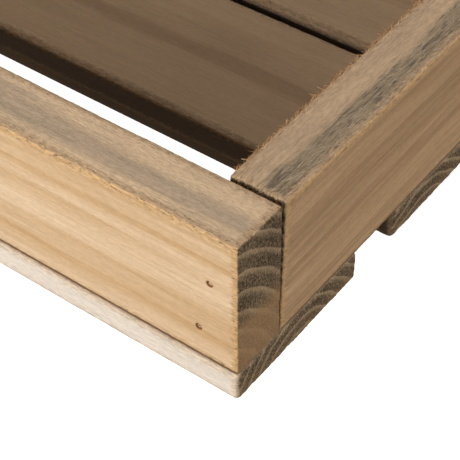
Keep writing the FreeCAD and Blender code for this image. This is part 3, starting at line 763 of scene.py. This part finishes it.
for number in range(1, 10):
    node = f"slat_{number}"
    low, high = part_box(node)
    half_width = (high.y - low.y) / 2
    nail_row = half_width - slat_nail_inset
    spots = [(end * nail_column, 3.0e-3, 0.6e-3) for end in (-1, 1)]
    rows = [(edge * nail_row, 3.0e-3, 0.6e-3) for edge in (-1, 1)]
    nails = [(2, -1, end * nail_column, edge * nail_row) for end in (-1, 1) for edge in (-1, 1)]
    seen_close = number in seen_slat_end
    if seen_close:
        spots.append((-end_rail_half, seen_slat_end[number], 0.95e-3))
    mesh = sawn_board(node + "_board", low, high, 0, slat_radius, 40 + number,
                      seen_slat_step.get(number, 3.4e-3), 2.6e-3 if seen_close else 4.8e-3,
                      spots_along=spots, spots_a=rows, nails=nails,
                      end_rings=14 if seen_close else 8, fray=0.16e-3, end_radius=slat_end_radius)
    pith = (0.0, 0.008 * ((number * 5) % 7 - 3), -0.028 - 0.004 * (number % 3))
    # The middle slats get painted shade on the faces that look into the gaps between them.
    pine = sawn_pine(node + "_pine", pith, 0.0052, 0.012, pale, brown, end_grey,
                     half=(half_width, (high.z - low.z) / 2), figure_depth=0.25,
                     naps=(0.18, 0.14), arris_depth=0.35, patches=0.25,
                     gap_shade=0.0 if number in (1, 9) else 0.9)
    piece(node + "_board", mesh, "tray", "slat_pine", pine, node)

# ---------------------------------------------------------------------------
# Runners, bolsters and axle blocks: sawn blocks under the slats, drilled for their screws and
# brushed with a black-brown stain that has worn thin in streaks.


def turned(tree, place, angles):
    return add(tree, "ShaderNodeMapping", {"Vector": place, "Rotation": angles}).outputs[0]


def stained_block(name, turn, pith):
    """Dark stain over pine: the grain and the brush marks show through where it is thin."""
    material, tree = node_material(name)
    place = own_place(tree)
    laid = turned(tree, place, (0.0, 0.0, turn))
    figure = figure_in(tree, laid, pith, 0.0045)
    brush = ramp(tree, stretched_noise(tree, laid, (12.0, 420.0, 420.0), 4.0, 0.65), 0.4, 0.72)
    worn = ramp(tree, stretched_noise(tree, laid, (60.0, 260.0, 260.0), 5.0, 0.75), 0.60, 0.78)
    colour = mixed(tree, figure["Ring"], (0.050, 0.029, 0.015), (0.026, 0.014, 0.007))
    colour = mixed(tree, times(tree, brush, 0.5), colour, (0.075, 0.045, 0.024))
    colour = mixed(tree, times(tree, worn, 0.35), colour, (0.20, 0.13, 0.075))
    height = plus(tree, times(tree, figure["Fibre"], 0.5), brush)
    return finished(material, tree, colour, line(tree, brush, 0.8, 0.6), height, (0.4, 0.4e-3),
                    specular=0.2)


for number, node in enumerate(("bolster_front", "bolster_rear", "axle_block_front",
                               "axle_block_rear")):
    finish_nodes(stained_block(node + "_stain", 0.0, (0.0, 0.02 * number, 0.02)), node)
for side, node in ((1, "runner_left"), (-1, "runner_right")):
    finish_nodes(stained_block(node + "_stain", math.pi / 2, (0.0, 0.03 * side, 0.04)), node)

# ---------------------------------------------------------------------------
# The wheels: turned beech discs with a thinner web, each with a rubber tyre stretched over its
# rim. A ring is a closed loop of (offset, radius) points turned about the wheel's axis.


def fine_loop(corners, step, softening):
    """A closed polygon cut into steps, its corners eased by repeated 1-2-1 averaging."""
    corners = np.array(corners + corners[:1])
    sides = np.linalg.norm(np.diff(corners, axis=0), axis=1)
    whole = np.concatenate([[0.0], np.cumsum(sides)])
    at = np.linspace(0.0, whole[-1], int(whole[-1] / step), endpoint=False)
    loop = np.stack([np.interp(at, whole, corners[:, k]) for k in (0, 1)], axis=-1)
    for _ in range(softening):
        loop = (np.roll(loop, 1, axis=0) + 2 * loop + np.roll(loop, -1, axis=0)) / 4
    return loop


def turned_ring(name, loop, centre, around, relief):
    """The loop turned about an axis along X through centre, with relief(points) added along the
    outward normal, which is the loop's tangent turned back a quarter."""
    tangent = np.roll(loop, -1, axis=0) - np.roll(loop, 1, axis=0)
    normal = np.stack([tangent[:, 1], -tangent[:, 0]], axis=-1)
    normal /= np.linalg.norm(normal, axis=1)[:, None]
    area = np.sum(loop[:, 0] * np.roll(loop[:, 1], -1) - loop[:, 1] * np.roll(loop[:, 0], -1))
    normal *= np.sign(area)
    turn = np.arange(around) * 2 * math.pi / around
    round_axis = np.stack([np.cos(turn), np.sin(turn)], axis=-1)

    def swept(pairs):
        offset = np.broadcast_to(pairs[:, None, :1], (len(pairs), around, 1))
        return np.concatenate([offset, pairs[:, None, 1:] * round_axis], axis=-1).reshape(-1, 3)

    points, facing = swept(loop), swept(normal)
    moved = points + facing * relief(points)[:, None] + np.array(centre)
    step = np.arange(len(loop))[:, None] * around
    next_step = (np.arange(len(loop))[:, None] + 1) % len(loop) * around
    here = np.arange(around)
    after = (here + 1) % around
    quads = np.stack([step + here, step + after, next_step + after, next_step + here], axis=-1)
    mesh = solid_mesh(name, moved, quads.reshape(-1, 4), np.zeros((0, 3), dtype=int))
    carry_values(mesh, "wheel", "FLOAT_VECTOR", points)
    return mesh


def radial(points):
    return np.hypot(points[:, 1], points[:, 2])


def ring_noise(tree, radius, scale, detail):
    """Noise that changes with the radius alone, as lathe and mould marks do."""
    return add(tree, "ShaderNodeTexNoise", {"W": times(tree, radius, scale), "Scale": 1.0,
                                            "Detail": detail}, noise_dimensions="1D").outputs["Fac"]


def turned_beech(name, turn):
    """Beech with its short dark flecks, lathe rings, a worn varnish and dirt by the tyre."""
    material, tree = node_material(name)
    place = add(tree, "ShaderNodeAttribute", attribute_name="wheel").outputs["Vector"]
    laid = turned(tree, place, (turn, 0.0, 0.0))
    fleck = ramp(tree, stretched_noise(tree, laid, (1500.0, 330.0, 1500.0), 2.0, 0.6), 0.60, 0.68)
    broad = ramp(tree, stretched_noise(tree, laid, (60.0, 9.0, 130.0), 4.0), 0.3, 0.7)
    fine = ramp(tree, stretched_noise(tree, laid, (900.0, 40.0, 1100.0), 3.0, 0.6), 0.3, 0.7)
    radius = off_axis(tree, place)
    rings = ring_noise(tree, radius, 900.0, 2.0)
    tone = mixed(tree, broad, (0.60, 0.40, 0.24), (0.47, 0.29, 0.16))
    tone = mixed(tree, times(tree, fine, 0.35), tone, (0.80, 0.74, 0.68), "MULTIPLY")
    tone = mixed(tree, times(tree, fleck, 0.75), tone, (0.24, 0.125, 0.06))
    smudge = stretched_noise(tree, place, (90.0, 90.0, 90.0), 4.0, 0.65)
    hub_dirt = times(tree, ramp(tree, radius, 0.0125, 0.009), 0.9)
    rim_dirt = plus(tree, ramp(tree, radius, 0.038, 0.0445), hub_dirt, clamp=True)
    dirt = times(tree, plus(tree, times(tree, rim_dirt, 0.6), 0.18),
                 ramp(tree, smudge, 0.32, 0.68))
    tone = mixed(tree, dirt, tone, (0.13, 0.095, 0.065))
    height = plus(tree, times(tree, rings, 0.5), times(tree, fine, 0.25))
    gloss = line(tree, smudge, 0.34, 0.62, 0.3, 0.7)
    return finished(material, tree, tone, gloss, height, (0.45, 0.3e-3), coat=0.15)


def tyre_rubber(name):
    """Black rubber: pale dust and scuffs on the tread, fine mould rings on the sides."""
    material, tree = node_material(name)
    place = add(tree, "ShaderNodeAttribute", attribute_name="wheel").outputs["Vector"]
    radius = off_axis(tree, place)
    grit = stretched_noise(tree, place, (1300.0, 1300.0, 1300.0), 4.0, 0.7)
    cloud = stretched_noise(tree, place, (70.0, 70.0, 70.0), 4.0, 0.6)
    tread = ramp(tree, radius, 0.0478, 0.0496)
    grime = plus(tree, times(tree, grit, 0.5), times(tree, cloud, 0.5))
    dust = times(tree, plus(tree, times(tree, tread, 0.5), 0.16), ramp(tree, grime, 0.40, 0.62))
    tone = mixed(tree, dust, (0.028, 0.028, 0.030), (0.20, 0.175, 0.145))
    rings = ring_noise(tree, radius, 1500.0, 1.0)
    height = plus(tree, times(tree, rings, 0.4), times(tree, grit, 0.6))
    return finished(material, tree, tone, line(tree, dust, 0.58, 0.95), height, (0.4, 0.3e-3),
                    specular=0.4)


half_disc = [(0.011, 0.044), (0.012, 0.043), (0.012, 0.035), (0.008, 0.032), (0.008, 0.018),
             (0.012, 0.015), (0.012, 0.008)]
disc_loop = fine_loop([(-x, r) for x, r in reversed(half_disc)] + half_disc, 0.75e-3, 2)
half_tyre = [(0.0095, 0.050), (0.01125, 0.0493), (0.012, 0.0475), (0.012, 0.044)]
tyre_loop = fine_loop([(-x, r) for x, r in reversed(half_tyre)] + half_tyre, 0.5e-3, 2)
tread_rib = 0.0042
tread_groove = 0.6e-3
rubber = tyre_rubber("worn_rubber")


def disc_relief(points):
    """Lathe marks, and knocks on the rim's edges."""
    lathe = 0.03e-3 * np.sin(2 * math.pi * radial(points) / 1.6e-3)
    return lathe - 0.25e-3 * np.clip(rough(points * 130.0, 71, 2) - 0.25, 0.0, 1.0)


def tyre_relief(points):
    """Two grooves round the tread, cut square to it, and wear that eats the ribs unevenly."""
    on_tread = smooth_step(radial(points), 0.0488, 0.0494)
    groove = 1.0 - smooth_step(np.abs(np.abs(points[:, 0]) - tread_rib), 0.5e-3, 1.0e-3)
    worn = 0.10e-3 * np.abs(rough(points * 170.0, 73, 3))
    return -on_tread * (tread_groove * groove + worn)


for number, place in enumerate(("front_left", "front_right", "rear_left", "rear_right")):
    low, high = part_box(f"wheel_{place}")
    centre = (np.array(low) + np.array(high)) / 2
    turn = number * 1.3
    disc = turned_ring(f"wheel_{place}_disc", disc_loop, centre, 144, disc_relief)
    piece(f"wheel_{place}_disc", disc, f"{place}_wheel", "wheel_beech",
          turned_beech(f"beech_{place}", turn), f"wheel_{place}")
    tread = turned_ring(f"tyre_{place}_band", tyre_loop, centre, 200, tyre_relief)
    piece(f"tyre_{place}_band", tread, f"{place}_wheel", "tyre_rubber", rubber, f"tyre_{place}")

# ---------------------------------------------------------------------------
# The fittings: zinc-plated screws, bolts, pins and axles, brass bushes, and the turntable plate
# and steering arm in black powder coat with chips down to the steel.
finish_nodes(plain_metal("zinc_plate", (0.60, 0.60, 0.58), (0.36, 0.34, 0.30), 0.36, 0.6),
             "runner_screws", "bolster_screws", "axle_block_rear_screws", "turntable_plate_screws",
             "steering_arm_screws", "kingpin", "kingpin_nut", "drawbar_bolt", "drawbar_nut",
             "drawbar_washers", "grip_screw", "axle_front", "axle_rear", "axle_washers_front",
             "axle_washers_rear", "axle_caps_front", "axle_caps_rear")
finish_nodes(plain_metal("worn_brass", (0.70, 0.50, 0.22), (0.36, 0.23, 0.10), 0.33, 0.7),
             "drawbar_bush", "hub_bush_front_left", "hub_bush_front_right", "hub_bush_rear_left",
             "hub_bush_rear_right")

coat, tree = node_material("powder_coat")
place = own_place(tree)
peel = stretched_noise(tree, place, (1100.0, 1100.0, 1100.0), 1.0)
cloud = stretched_noise(tree, place, (60.0, 60.0, 60.0), 5.0, 0.7)
chip = ramp(tree, cloud, 0.665, 0.68)
dust = times(tree, ramp(tree, cloud, 0.35, 0.6), 0.25)
tone = mixed(tree, dust, (0.022, 0.022, 0.024), (0.14, 0.12, 0.10))
tone = mixed(tree, chip, tone, (0.34, 0.26, 0.20))
height = minus(tree, times(tree, peel, 0.4), chip)
gloss = line(tree, cloud, 0.38, 0.6, 0.3, 0.7)
finish_nodes(finished(coat, tree, tone, gloss, height, (0.35, 0.2e-3),
                      metallic=times(tree, chip, 0.8)),
             "turntable_plate", "steering_arm")

# ---------------------------------------------------------------------------
# The drawbar: an oiled ash pole with a turned ash grip through its end, darkened by hands.


def oiled_ash(name, turn, pith, hand_centre, hand_reach):
    """Ash with open dark pores along its grain; the oil has darkened where hands hold it."""
    material, tree = node_material(name)
    place = own_place(tree)
    laid = turned(tree, place, turn)
    figure = figure_in(tree, laid, pith, 0.0026)
    pore = ramp(tree, stretched_noise(tree, laid, (150.0, 2600.0, 2600.0), 2.0, 0.6), 0.56, 0.64)
    pore = times(tree, pore, plus(tree, times(tree, figure["Ring"], 0.7), 0.2))
    slow = ramp(tree, figure["Broad"], 0.3, 0.7)
    tone = plus(tree, times(tree, figure["Ring"], 0.45), times(tree, slow, 0.4), clamp=True)
    colour = mixed(tree, tone, (0.62, 0.45, 0.28), (0.43, 0.28, 0.15))
    colour = mixed(tree, pore, colour, (0.20, 0.115, 0.055))
    away = add(tree, "ShaderNodeVectorMath", {0: place, 1: hand_centre}, operation="DISTANCE")
    smudge = stretched_noise(tree, place, (45.0, 45.0, 45.0), 4.0, 0.65)
    held = times(tree, ramp(tree, away.outputs["Value"], hand_reach, 0.3 * hand_reach),
                 ramp(tree, smudge, 0.25, 0.6))
    colour = mixed(tree, times(tree, held, 0.6), colour, (0.23, 0.125, 0.06))
    scuff = ramp(tree, stretched_noise(tree, place, (160.0, 50.0, 160.0), 5.0, 0.75), 0.60, 0.72)
    colour = mixed(tree, times(tree, scuff, 0.35), colour, (0.30, 0.235, 0.17))
    height = minus(tree, times(tree, figure["Fibre"], 0.3), pore)
    return finished(material, tree, colour, line(tree, held, 0.56, 0.36), height, (0.4, 0.3e-3))


grip_low, grip_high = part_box("grip_bar")
grip_centre = tuple((grip_low + grip_high) / 2)
finish_nodes(oiled_ash("ash_pole", (0.0, 0.0, math.pi / 2), (0.0, 0.03, 0.03), grip_centre, 0.16),
             "drawbar_pole")
finish_nodes(oiled_ash("ash_grip", (0.0, 0.0, 0.0), (0.0, -0.70, 0.04), grip_centre, 0.09),
             "grip_bar")
